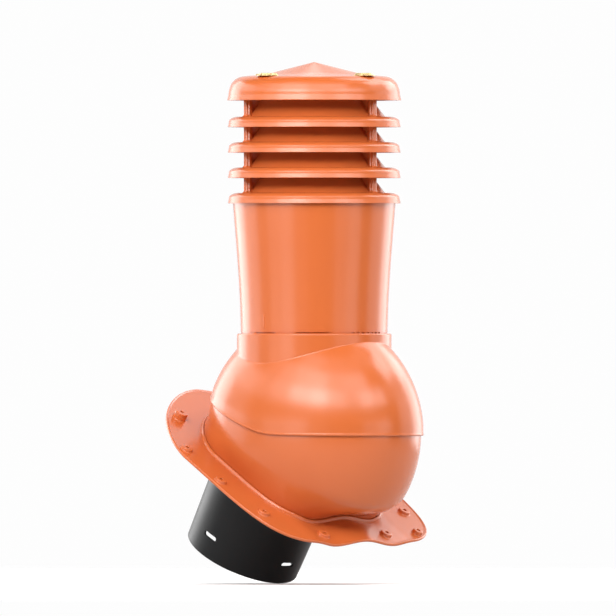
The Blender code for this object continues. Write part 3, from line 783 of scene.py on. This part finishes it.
    def boss(self, down: float, across: float, height: float, radius: float) -> Surface:
        """A round boss with a flared root and a rounded hole, turned about its own axis.

        Args:
            down: Its place down the slope.
            across: Its place across it.
            height: Its height.
            radius: Its radius.

        Returns:
            The boss.
        """
        section = rounded([
            (self.boss_hole, height, 0.5 * MM), (radius - 0.6 * MM, height, 1.1 * MM),
            (radius, 0.4 * MM, 1.4 * MM), (radius + self.boss_skirt, -0.3 * MM, 0.5 * MM),
            (radius, -self.boss_sink, 0.3 * MM), (self.boss_hole, -self.boss_sink, 0.3 * MM)], steps=6)
        return turned(section, 48).moved(lambda spot: self.on_flange(spot, down, across))

    def drill(self, down: float, across: float) -> Surface:
        """A rod, closed by nearly pointed ends, that drills a boss's hole through the flange.

        Args:
            down: Its place down the slope.
            across: Its place across it.

        Returns:
            The rod.
        """
        radius = self.boss_hole * np.array([1e-4, 1.0, 1.0, 1e-4])
        height = self.drill_reach * np.array([-1.0, -1.0, 1.0, 1.0])
        rod = turned(np.stack([radius, height], axis=1), 24, closed=False)
        return rod.moved(lambda spot: self.on_flange(spot, down, across))

    def shapes(self) -> list[Shape]:
        """The moulding, drilled through, and its bosses.

        Returns:
            Both shapes.
        """
        bosses = self.bosses()
        drills = [self.drill(down, across) for down, across, _, _ in bosses]
        return [Shape("flange_and_lower_dome", self.body(), "roof_base", [drills]),
                Shape("screw_bosses", Surface.join([self.boss(*boss) for boss in bosses]))]


@dataclass
class Hood(Assembly):
    """Upper dome and pipe collar, one moulding over the lower dome."""

    radius: float = 153.6 * MM
    half_width: float = 122.9 * MM
    wall: float = 2.2 * MM
    rim_height: float = -2.6 * MM
    rise_start: float = 4.5 * MM
    rise: float = 0.36
    bend: float = 45.0 * MM
    collar_top: float = 128.6 * MM
    collar_radius: float = 99.0 * MM
    bore: float = 94.6 * MM
    ledge: float = 100.0 * MM
    ledge_thickness: float = 4.0 * MM
    ledge_reach: float = 5.6 * MM
    fillet: float = 1.0 * MM
    lip_height: float = 1.7 * MM
    lip_inset: float = 1.5 * MM
    lip_flare: float = 0.45 * MM
    flare_height: float = 2.4 * MM
    flare_fade: float = 12.0 * MM
    columns: int = 360

    def rim_at(self, x: Array) -> Array:
        """Height of the rim: level down the slope, a line up it, joined by half a hyperbola."""
        climb = self.rise_start - self.rise * x - self.rim_height
        return self.rim_height + (climb + np.sqrt(climb**2 + (self.bend * self.rise) ** 2 / 4)) / 2

    def equator(self, angle: Array, shrink: Array | float) -> Array:
        """Distance from the pipe axis to the barrel's widest level, an ellipse, at each bearing."""
        radius, half_width = self.radius - shrink, self.half_width - shrink
        return 1 / np.sqrt(np.cos(angle) ** 2 / radius**2 + np.sin(angle) ** 2 / half_width**2)

    def shell(self, angle: Array, lift: Array, shrink: Array | float) -> Array:
        """Points on the barrel at a bearing and an elevation parameter, shrunk from the outside."""
        return spun(self.equator(angle, shrink) * np.cos(lift), (self.radius - shrink) * np.sin(lift), angle)

    def rim_lift(self, angle: Array) -> Array:
        """Elevation parameter of the rim at each bearing, found by halving.

        Args:
            angle: Bearings about the pipe axis.

        Returns:
            The rim's elevation parameters.
        """
        low, high = np.full_like(angle, -0.6), np.full_like(angle, 1.0)
        for _ in range(40):
            middle = (low + high) / 2
            point = self.shell(angle, middle, 0.0)
            above = point[..., 2] > self.rim_at(point[..., 0])
            low, high = np.where(above, low, middle), np.where(above, middle, high)
        return low

    def lift_at_radius(self, angle: Array, reach: float, shrink: float) -> Array:
        """Elevation parameter where the barrel is this far from the pipe axis."""
        return np.arccos(np.clip(reach / self.equator(angle, shrink), -1, 1))

    def body(self) -> Surface:
        """The moulding as a section that changes round the pipe and closes on itself.

        Outside it runs down the collar, through a parabolic fillet onto the barrel and down to the rim;
        inside it runs back up the barrel to the ledge that the pipe stands on.

        Returns:
            The hood with its collar.
        """
        angle = bearings(self.columns)
        rim = self.rim_lift(angle)
        join_lift = self.lift_at_radius(angle, self.collar_radius + self.fillet, 0.0)
        join = self.shell(angle, join_lift, 0.0)
        crease = self.shell(angle, self.lift_at_radius(angle, self.collar_radius, 0.0), 0.0)
        above = crease + np.array([0.0, 0.0, self.fillet])
        t = np.linspace(0.0, 1.0, 8)[:, None, None]
        fillet = (1 - t) ** 2 * above + 2 * t * (1 - t) * crease + t**2 * join
        share = np.concatenate([np.linspace(0.0, 0.96, 48)[1:], np.linspace(0.965, 1.0, 9)])[:, None]
        lip_start = rim + self.lip_height / self.radius
        lift = join_lift + share * (lip_start - join_lift)
        over = (lift - lip_start) * self.radius
        flare = smooth_step(over / self.flare_height) * (1 - smooth_step(over / self.flare_fade - 0.3))
        outside = self.shell(angle, lift, self.lip_flare * flare)
        lip_turn = np.linspace(0.0, np.pi / 2, 8)[1:, None]
        lip = self.shell(angle, lip_start - np.sin(lip_turn) * self.lip_height / self.radius,
                         self.lip_inset * (1 - np.cos(lip_turn)))
        inner_top = self.lift_at_radius(angle, self.collar_radius - 1.0 * MM, self.wall)
        back = np.linspace(0.0, 1.0, 25)[:, None]
        inside = self.shell(angle, rim + back * (inner_top - rim), self.wall)
        low, mouth = self.ledge - self.ledge_thickness, self.bore - self.ledge_reach
        top = rounded([
            (self.bore, low, 0.0), (mouth, low, 0.4 * MM), (mouth, self.ledge, 0.4 * MM),
            (self.bore, self.ledge, 0.3 * MM), (self.bore, self.collar_top, 0.8 * MM),
            (self.collar_radius, self.collar_top, 2.4 * MM),
            (self.collar_radius, self.collar_top - 5.0 * MM, 0.0)], closed=False)
        collar = spun(top[:, :1], top[:, 1:], angle)
        rows = np.concatenate([collar, fillet, outside, lip, inside])
        return Surface.grid(self.site.from_pivot(rows), wrap_rows=True)

    def shapes(self) -> list[Shape]:
        """The hood with its collar."""
        return [Shape("tilting_hood", self.body(), "hood")]


@dataclass
class OuterPipe(Assembly):
    """The waisted outer pipe between collar and louvres."""

    head: float = 305.8 * MM
    wall: float = 3.0 * MM
    shoulder: float = 5.2 * MM
    head_radius: float = 104.3 * MM
    columns: int = 720
    # Heights and radii of the waist, read off the outline
    heights: tuple[float, ...] = (100.3 * MM, 128.6 * MM, 165.0 * MM, 213.8 * MM, 255.0 * MM, 297.0 * MM)
    radii: tuple[float, ...] = (94.1 * MM, 94.1 * MM, 94.7 * MM, 97.8 * MM, 100.9 * MM, 104.3 * MM)
    seam_height: float = 1.9 * MM
    seam_depth: float = 2.6 * MM
    seam_least: float = 0.2 * MM
    # Bearing and half width of each opening of the seam, in degrees; the last one has teeth
    seam_openings: tuple[tuple[float, float], ...] = ((-90.0, 7.0), (-48.0, 10.0), (0.0, 15.0))
    seam_fade: float = math.radians(5.0)
    tooth_pitch: float = math.radians(5.0)
    tooth_edge: float = 2.5
    tooth_width: float = 0.9
    key_width: float = 3.0 * MM
    key_reach: float = 0.7 * MM
    key_low: float = 132.4 * MM
    key_high: float = 155.6 * MM
    key_bearing: float = math.radians(-90.0)

    def waist(self, height: Array) -> Array:
        """Radius of the side, a cubic fitted through the named radii."""
        return np.polynomial.Polynomial.fit(self.heights, self.radii, 3)(height)

    def side(self) -> Array:
        """The waisted side as (radius, height) downwards, with rows for the seam's rounded edges.

        Returns:
            Points by (radius, height).
        """
        seam = self.heights[1] + self.seam_height
        height = np.concatenate([
            np.linspace(self.heights[-1], seam + 1.5 * MM, 44),
            seam - self.seam_height * np.array([-0.4, -0.1, 0.0, 0.08, 0.3, 0.7, 1.0]),
            [self.heights[1] - 1.5 * MM, self.heights[0]]])
        return np.stack([self.waist(height), height], axis=-1)

    def seam(self, angle: Array) -> Array:
        """Depth of the dark seam over the collar at each bearing.

        It opens by smooth windows at three places; the one down the slope is cut into teeth, where a
        cosine of the bearing passes a threshold.

        Args:
            angle: Bearings about the pipe axis.

        Returns:
            The depth at each bearing.
        """
        middle, half = np.radians(self.seam_openings).T[..., None]
        off = np.abs((angle - middle + math.pi) % (2 * math.pi) - math.pi)
        windows = 1 - smooth_step((off - half) / self.seam_fade)
        ripple = np.cos(2 * math.pi * angle / self.tooth_pitch)
        teeth = smooth_step(self.tooth_edge * ripple + self.tooth_width)
        opened = np.maximum(windows[:2].max(axis=0), windows[2] * teeth)
        return self.seam_least + (self.seam_depth - self.seam_least) * opened

    def key(self) -> Surface:
        """The small upright key over the collar, a bar with a bulging face.

        Returns:
            The key.
        """
        height = np.linspace(self.key_low, self.key_high, 8)[:, None]
        across = np.array([-0.5, -0.44, -0.3, 0.0, 0.3, 0.44, 0.5]) * self.key_width
        bulge = np.array([-0.6, 0.7, 1.0, 0.75, 1.0, 0.7, -0.6]) * self.key_reach
        ends = np.array([0.0, 1, 1, 1, 1, 1, 1, 0.0])[:, None]
        side = self.waist(height)
        reach = side + bulge * ends - (1 - ends) * self.key_reach
        front = np.stack(np.broadcast_arrays(reach, across, height), axis=-1)
        back = np.stack(np.broadcast_arrays(side - self.wall / 2, across, height), axis=-1)[:, ::-1]
        loop = np.concatenate([front, back], axis=1)
        foot, head = (np.broadcast_to(row.mean(axis=1, keepdims=True), row.shape)
                      for row in (loop[:1], loop[-1:]))
        return Surface.grid(np.concatenate([foot, loop, head])).turned_by(self.key_bearing)

    def body(self) -> Surface:
        """The pipe's wall turned about the pipe axis, with the seam sunk into it over the collar.

        Returns:
            The pipe without its key.
        """
        side = self.side()
        brim = self.head_radius - self.shoulder
        top = rounded([
            (brim - self.wall, self.head, 0.5 * MM), (brim, self.head, 0.8 * MM),
            (self.head_radius, self.head - self.shoulder, 0.8 * MM),
            (side[0, 0], side[0, 1], 0.0)], closed=False)
        inner = side[[-1, 20, 0]] - np.array([self.wall, 0.0])
        section = np.concatenate([top, side[1:], inner])
        radius, height = section[:, :1], section[:, 1:]
        low, high = self.heights[1] - 0.01 * MM, self.heights[1] + self.seam_height - 0.05 * MM
        sunk = (height > low) & (height < high) & (radius > self.radii[1] - 0.8 * MM)
        angle = bearings(self.columns)
        return Surface.grid(spun(radius - sunk * self.seam(angle), height, angle), wrap_rows=True)

    def shapes(self) -> list[Shape]:
        """The pipe with its key."""
        shape = Surface.join([self.body(), self.key()]).moved(self.site.from_pivot)
        return [Shape("waisted_pipe", shape, "outer_pipe")]


@dataclass
class LouvreStack(Assembly):
    """Four louvre rings, each with a conical blade and three ribbed posts with fins."""

    count: int = 4
    first: float = 295.2 * MM
    pitch: float = 32.5 * MM
    height: float = 13.4 * MM
    radius: float = 110.7 * MM
    top_radius: float = 101.0 * MM
    side: float = 6.0 * MM
    lip: float = 1.3 * MM
    wall: float = 2.5 * MM
    blade_outer: float = 91.0 * MM
    blade_inner: float = 72.0 * MM
    blade_rise: float = 24.1 * MM
    posts: int = 3
    first_post: float = math.radians(6.5)
    post_place: float = 92.0 * MM
    post_radius: float = 6.0 * MM
    post_ribs: int = 8
    rib_depth: float = 0.9 * MM
    post_gap: float = 0.3 * MM
    fin: float = 2.6 * MM
    cap_reach: float = 451.0 * MM

    def ring(self, base: float) -> Surface:
        """One ring's section turned about the pipe axis.

        Args:
            base: Height of its lower edge.

        Returns:
            The ring with its blade.
        """
        run = self.blade_outer - self.blade_inner
        length = math.hypot(run, self.blade_rise)
        in_step, down_step = self.wall * self.blade_rise / length, self.wall * run / length
        tip, ceiling = self.height + self.blade_rise, self.height - self.wall
        under = self.blade_outer - in_step + (self.wall - down_step) * run / self.blade_rise
        section = rounded([
            (self.blade_inner, tip, 0.8 * MM), (self.blade_outer, self.height, 1.5 * MM),
            (self.top_radius + 1.5 * MM, self.height, 5.5 * MM),
            (self.radius - self.lip - 0.3 * MM, self.side + 3.4 * MM, 4.2 * MM),
            (self.radius - self.lip, self.side - 0.6 * MM, 0.5 * MM), (self.radius, 0.0, 0.45 * MM),
            (self.radius - self.wall, 0.0, 0.45 * MM),
            (self.radius - self.lip - self.wall, self.side, 2.0 * MM), (self.top_radius, ceiling, 2.0 * MM),
            (under, ceiling, 1.0 * MM), (self.blade_inner - in_step, tip - down_step, 0.8 * MM)], steps=9)
        return turned(section + np.array([0.0, base]))

    def post(self, angle: float, low: float, high: float) -> Surface:
        """A ribbed post: a circle whose radius ripples round it, flared at the foot.

        Args:
            angle: Its bearing.
            low: Its foot.
            high: Its top.

        Returns:
            The post.
        """
        height = np.array([low, low + 0.6 * MM, low + 1.6 * MM, low + 3.0 * MM, high - 1.0 * MM, high, high])
        flare = np.array([2.2, 1.3, 0.5, 0.0, 0.0, -0.3, -6.0])[:, None] * MM
        turn = bearings(72)
        ripple = self.rib_depth * (np.abs(np.cos(turn * self.post_ribs / 2)) - 1)
        reach = np.maximum(self.post_radius + flare + ripple, 1e-6)
        walls = spun(reach, height[:, None], turn)
        bottom = np.broadcast_to([0.0, 0.0, low - 1.2 * MM], walls[:1].shape)
        points = np.concatenate([bottom, walls]) + np.array([self.post_place, 0.0, 0.0])
        return Surface.grid(points).turned_by(angle)

    def web(self, angle: float, base: float, high: float) -> Surface:
        """The fin between a post and the blade behind it: a thin prism that follows the blade's slope.

        Args:
            angle: Its bearing.
            base: Height of the ring's lower edge.
            high: Its top.

        Returns:
            The fin.
        """
        slope = (self.blade_outer - self.blade_inner) / self.blade_rise
        low = base + self.height - self.wall / 2
        foot = self.blade_outer - self.wall / 2 + slope * self.wall / 2
        tip = self.blade_outer - self.wall / 2 - (high - base - self.height) * slope
        outline = np.array([(foot, low), (self.post_place, low), (self.post_place, high), (tip, high)])
        middle = outline.mean(axis=0)
        loops = [(-1, 0.0), (-1, 1.0), (1, 1.0), (1, 0.0)]
        points = np.array([[(*(middle + grow * (spot - middle)), side * self.fin / 2) for spot in outline]
                           for side, grow in loops])
        return Surface.grid(points[..., [0, 2, 1]]).turned_by(angle)

    def shapes(self) -> list[Shape]:
        """The rings, each with its posts and fins; the top ring's posts reach into the cap.

        Returns:
            The four rings.
        """
        shapes = []
        for index in range(self.count):
            base = self.first + index * self.pitch
            last = index == self.count - 1
            high = self.cap_reach if last else base + self.pitch + self.height - self.wall - self.post_gap
            fin_top = base + self.height + self.blade_rise - self.wall
            parts = [self.ring(base)]
            for post in range(self.posts):
                angle = self.first_post + post * 2 * math.pi / self.posts
                parts.append(self.post(angle, base + self.height, high))
                parts.append(self.web(angle, base, min(high, fin_top)))
            ring = Surface.join(parts).moved(self.site.from_pivot)
            shapes.append(Shape(f"louvre_{index + 1}", ring, f"louvre_ring_{index + 1}"))
        return shapes


@dataclass
class RainCap(Assembly):
    """The low conical cap with its deep rim."""

    # Radius, height and rounding of the section's corners, from the apex down the outside and back inside
    section_mm: tuple[tuple[float, float, float], ...] = (
        (0.0, 476.2, 0), (62.0, 460.4, 9.0), (97.0, 457.2, 7.0), (105.8, 449.8, 4.5), (109.3, 439.8, 4.0),
        (109.9, 434.2, 0.7), (111.4, 427.6, 0.3), (111.3, 427.0, 0.3), (108.9, 427.0, 0.3),
        (107.6, 434.0, 1.0), (106.9, 439.8, 3.0), (103.6, 448.4, 3.5), (96.0, 454.6, 6.0),
        (62.0, 457.8, 8.0), (0.0, 474.2, 0))
    boss_radius: float = 3.8 * MM
    boss_foot: float = 444.0 * MM
    boss_head: float = 457.0 * MM
    screw_place: float = 87.0 * MM
    screws: int = 4

    def body(self) -> Surface:
        """The cap's section turned about the pipe axis, without its screw bosses."""
        section = rounded(np.array(self.section_mm) * MM, closed=False, steps=9)
        return turned(section, closed=False)

    def boss(self, index: int) -> Surface:
        """A screw boss under the cap, a plain rod that runs into the wall above.

        Args:
            index: Which screw it is for.

        Returns:
            The boss.
        """
        rod = turned(np.array([(0.0, self.boss_foot), (self.boss_radius, self.boss_foot),
                               (self.boss_radius, self.boss_head), (0.0, self.boss_head)]), 32, closed=False)
        place = rod.moved(lambda spot: spot + np.array([self.screw_place, 0.0, 0.0]))
        return place.turned_by(index * 2 * math.pi / self.screws)

    def shapes(self) -> list[Shape]:
        """The cap with its bosses."""
        parts = [self.body()] + [self.boss(index) for index in range(self.screws)]
        return [Shape("conical_cap", Surface.join(parts).moved(self.site.from_pivot), "rain_cap")]


@dataclass
class CapScrews(Assembly):
    """Flanged screws with lobed heads on the cap's margin."""

    kind = Slot.ZINC
    count: int = 4
    place: float = 87.0 * MM
    seat: float = 458.0 * MM
    head_height: float = 3.8 * MM
    dish: float = 0.62
    lobes: int = 6
    lobe_swell: float = 0.075

    def screw(self, index: int) -> Surface:
        """One screw: a thin flange, then a head whose radius swells at each lobe, dished on top.

        Args:
            index: Which screw.

        Returns:
            The screw.
        """
        head, dish = self.head_height / MM, self.head_height * self.dish / MM
        profile = rounded([
            (0.0, dish, 0), (5.6, dish, 0.6), (7.4, head, 0.9), (9.6, head - 0.2, 1.2), (11.4, 3.0, 1.2),
            (11.4, 1.9, 0.5), (14.0, 1.1, 0.5), (14.0, 0.1, 0.3), (0.0, 0.1, 0)], closed=False, steps=6,
            support=0.3) * MM
        turn = bearings(96)
        swell = self.lobe_swell * (np.cos(self.lobes * turn) - 0.2)
        in_head = smooth_step((profile[:, 1:] - 1.4 * MM) / (0.8 * MM))
        points = spun(profile[:, :1] * (1 + in_head * swell), profile[:, 1:] + self.seat, turn)
        screw = Surface.grid(points + np.array([self.place, 0.0, 0.0]))
        return screw.turned_by(index * 2 * math.pi / self.count)

    def shapes(self) -> list[Shape]:
        """The screws."""
        return [Shape(f"flanged_screw_{index + 1}", self.screw(index).moved(self.site.from_pivot),
                      f"cap_screw_{index + 1}") for index in range(self.count)]


@dataclass(frozen=True)
class PanelRow:
    """A row of soft light panels at one elevation, each facing the pipe, with a radiance for each bearing."""

    elevation: float
    height: float
    radiances: dict[float, float]


def aimed(data: bpy.types.ID, place: Array, away: Array) -> bpy.types.Object:
    """Adds a camera or a lamp that looks against a direction.

    Args:
        data: The camera's or lamp's data.
        place: Where it stands.
        away: Unit vector from what it looks at.

    Returns:
        Its object.
    """
    item = bpy.data.objects.new(data.name, data)
    item.location = Vector(place)
    item.rotation_euler = Vector(-away).to_track_quat("-Z", "Y").to_euler()
    bpy.context.scene.collection.objects.link(item)
    return item


@dataclass
class Studio:
    """Camera, soft panels, white surroundings and a pale floor that fades into them."""

    site: Site
    bearing: float = math.radians(43.0)
    frame_pixels: float = 616.0
    metres_per_pixel: float = 1.28 * MM
    axis_pixel: tuple[float, float] = (314.2, 434.0)
    # Near to parallel, so that one scale holds, yet short enough for the camera's range to reach the object
    lens: float = 1600.0
    camera_range: float = 120.0
    sensor: float = 36.0
    lowest: float = -0.22
    floor_gap: float = 0.5 * MM
    floor_radius: float = 2.4
    white: float = 0.985
    fill: float = 0.05
    aim_height: float = 0.15
    panel_distance: float = 2.4
    # How wide the panels are, in degrees: in front, behind the object's sides, and high up
    spread: float = 20.0
    rear_spread: float = 30.0
    high_spread: float = 40.0
    high_elevation: float = 50.0
    gain: float = 1.05
    # Radiance by bearing from the camera, in degrees, matched to the light seen on the object
    rows: tuple[PanelRow, ...] = (
        PanelRow(0.0, 16.0, {-135: 4.2, -105: 1.9, -80: 0.4, -60: 1.4, -40: 2.2, -20: 0.4, 40: 1.0, 60: 1.7,
                             105: 1.2, 135: 3.5}),
        PanelRow(14.0, 12.0, {-135: 3.9, -105: 0.8, 105: 1.2, 135: 3.3}),
        PanelRow(27.0, 14.0, {-135: 3.2, -105: 2.2, -80: 1.4, -60: 2.8, -40: 7.3, -20: 9.6, 0: 4.6, 20: 2.6,
                              40: 5.2, 60: 3.4, 80: 0.6, 105: 0.8, 135: 4.7}),
        PanelRow(43.0, 18.0, {-80: 0.9, -60: 2.1, -40: 3.6, -20: 4.3, 0: 2.2, 20: 3.0, 40: 2.8, 105: 4.7,
                              135: 3.0}),
        PanelRow(61.0, 18.0, {-40: 1.7, 0: 0.8, 40: 0.6, 80: 0.6, 135: 3.5}),
        PanelRow(15.0, 80.0, {-165: 0.9, 165: 1.0}))

    def directions(self) -> tuple[Array, Array]:
        """Unit vectors to the picture's right and towards the camera.

        Returns:
            The vectors to the right and towards the camera.
        """
        right = np.array([math.cos(self.bearing), math.sin(self.bearing), 0.0])
        toward = np.array([math.sin(self.bearing), -math.cos(self.bearing), 0.0])
        return right, toward

    def camera(self) -> bpy.types.Object:
        """A long-lens camera level with the picture's middle, so that one scale holds for the object.

        Returns:
            The camera.
        """
        right, toward = self.directions()
        half = self.frame_pixels / 2
        target = self.site.pivot + right * (half - self.axis_pixel[0]) * self.metres_per_pixel
        target = target + np.array([0.0, 0.0, (self.axis_pixel[1] - half) * self.metres_per_pixel])
        distance = self.frame_pixels * self.metres_per_pixel * self.lens / self.sensor
        data = bpy.data.cameras.new("camera")
        data.lens, data.sensor_width = self.lens, self.sensor
        data.clip_end = self.camera_range
        camera = aimed(data, target + toward * distance, toward)
        bpy.context.scene.camera = camera
        return camera

    def light(self, row: PanelRow, bearing: float, radiance: float) -> bpy.types.Object:
        """Hangs one soft panel, facing the pipe.

        Args:
            row: The row that it hangs in.
            bearing: Its bearing from the camera, in degrees, positive to the right.
            radiance: Its brightness.

        Returns:
            The lamp.
        """
        right, toward = self.directions()
        turn, rise = math.radians(bearing), math.radians(row.elevation)
        spread = self.high_spread if row.elevation > self.high_elevation else self.spread
        spread = self.rear_spread if abs(bearing) > 90 else spread
        level = toward * math.cos(turn) + right * math.sin(turn)
        away = level * math.cos(rise) + np.array([0.0, 0.0, math.sin(rise)])
        data = bpy.data.lights.new("soft_panel", "AREA")
        data.shape = "RECTANGLE"
        data.size = 2 * self.panel_distance * math.tan(math.radians(spread / 2)) * math.cos(rise)
        data.size_y = 2 * self.panel_distance * math.tan(math.radians(row.height / 2))
        data.energy = self.gain * radiance * math.pi * data.size * data.size_y
        target = self.site.pivot + np.array([0.0, 0.0, self.aim_height])
        lamp = aimed(data, target + away * self.panel_distance, away)
        lamp.visible_camera = False
        return lamp

    def surroundings(self) -> None:
        """White to the eye, and dimmer as a light, so that the panels model the form."""
        world = bpy.data.worlds.new("surroundings")
        world.use_nodes = True
        tree = world.node_tree
        tree.nodes.clear()
        path = add_node(tree, "ShaderNodeLightPath")
        level = add_node(tree, "ShaderNodeMapRange", inputs={
            "Value": path.outputs["Is Camera Ray"], "To Min": self.fill, "To Max": self.white})
        glow = add_node(tree, "ShaderNodeBackground", inputs={
            "Color": linear("#ffffff"), "Strength": level.outputs["Result"]})
        add_node(tree, "ShaderNodeOutputWorld", inputs={"Surface": glow.outputs["Background"]})
        bpy.context.scene.world = world

    def floor(self) -> bpy.types.Object:
        """A pale round floor whose edge fades out.

        Returns:
            The floor.
        """
        reach = np.linspace(0.0, self.floor_radius, 12)[:, None]
        points = spun(reach, self.lowest - self.floor_gap, bearings(96))
        surface = Surface.grid(points + np.array([self.site.pivot[0], 0.0, 0.0]))
        first, second, third = surface.points[surface.faces[-1, :3]]
        if np.cross(second - first, third - first)[2] < 0:
            surface.faces = surface.faces[:, ::-1]
        material = bpy.data.materials.new("pale_floor")
        tree, shader, where = shader_of(material)
        # The eye sees the floor almost white; the object gets less light back from it.
        path = add_node(tree, "ShaderNodeLightPath")
        tone = add_node(tree, "ShaderNodeMix", {"data_type": "RGBA"}, {
            0: path.outputs["Is Camera Ray"], 6: linear("#c2c2c2"), 7: linear("#f8f8f8")})
        tree.links.new(tone.outputs[2], shader.inputs["Base Color"])
        shader.inputs["Roughness"].default_value = 0.9
        shader.inputs["Specular IOR Level"].default_value = 0.0
        radius = add_node(tree, "ShaderNodeVectorMath", {"operation": "LENGTH"}, {0: where})
        fade = add_node(tree, "ShaderNodeMapRange", {"interpolation_type": "SMOOTHSTEP"}, {
            "Value": radius.outputs["Value"], "From Min": 0.45 * self.floor_radius,
            "From Max": 0.95 * self.floor_radius, "To Min": 1.0, "To Max": 0.0})
        tree.links.new(fade.outputs["Result"], shader.inputs["Alpha"])
        floor = surface.make("floor", material)
        floor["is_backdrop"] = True
        return floor

    def build(self) -> None:
        """Sets up camera, lights, surroundings and floor."""
        self.camera()
        for row in self.rows:
            for bearing, radiance in row.radiances.items():
                self.light(row, bearing, radiance)
        self.surroundings()
        self.floor()
        bpy.context.scene.view_settings.view_transform = "Standard"


def main() -> None:
    """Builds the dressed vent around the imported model."""
    logging.basicConfig(level=logging.INFO, format="%(name)s: %(message)s")
    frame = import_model()
    cad_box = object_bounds()
    joint = next(joint for joint in frame["joints"] if joint["name"] == "pitch_tilt")
    site = Site(np.array(joint["pos_m"], float))
    terracotta, black, zinc = TERRACOTTA.material(), BLACK.material(), ZINC.material()
    Studio(site, lowest=cad_box[0][2]).build()
    assemblies = [(RoofBase(site), terracotta), (Spigot(site), black), (Hood(site), terracotta),
                  (OuterPipe(site), terracotta), (LouvreStack(site), terracotta), (RainCap(site), terracotta),
                  (CapScrews(site), zinc)]
    for assembly, material in assemblies:
        for piece in assembly.build(material):
            LOG.info("%s: %d faces", piece.name, len(piece.data.polygons))


if __name__ == "__main__":
    main()
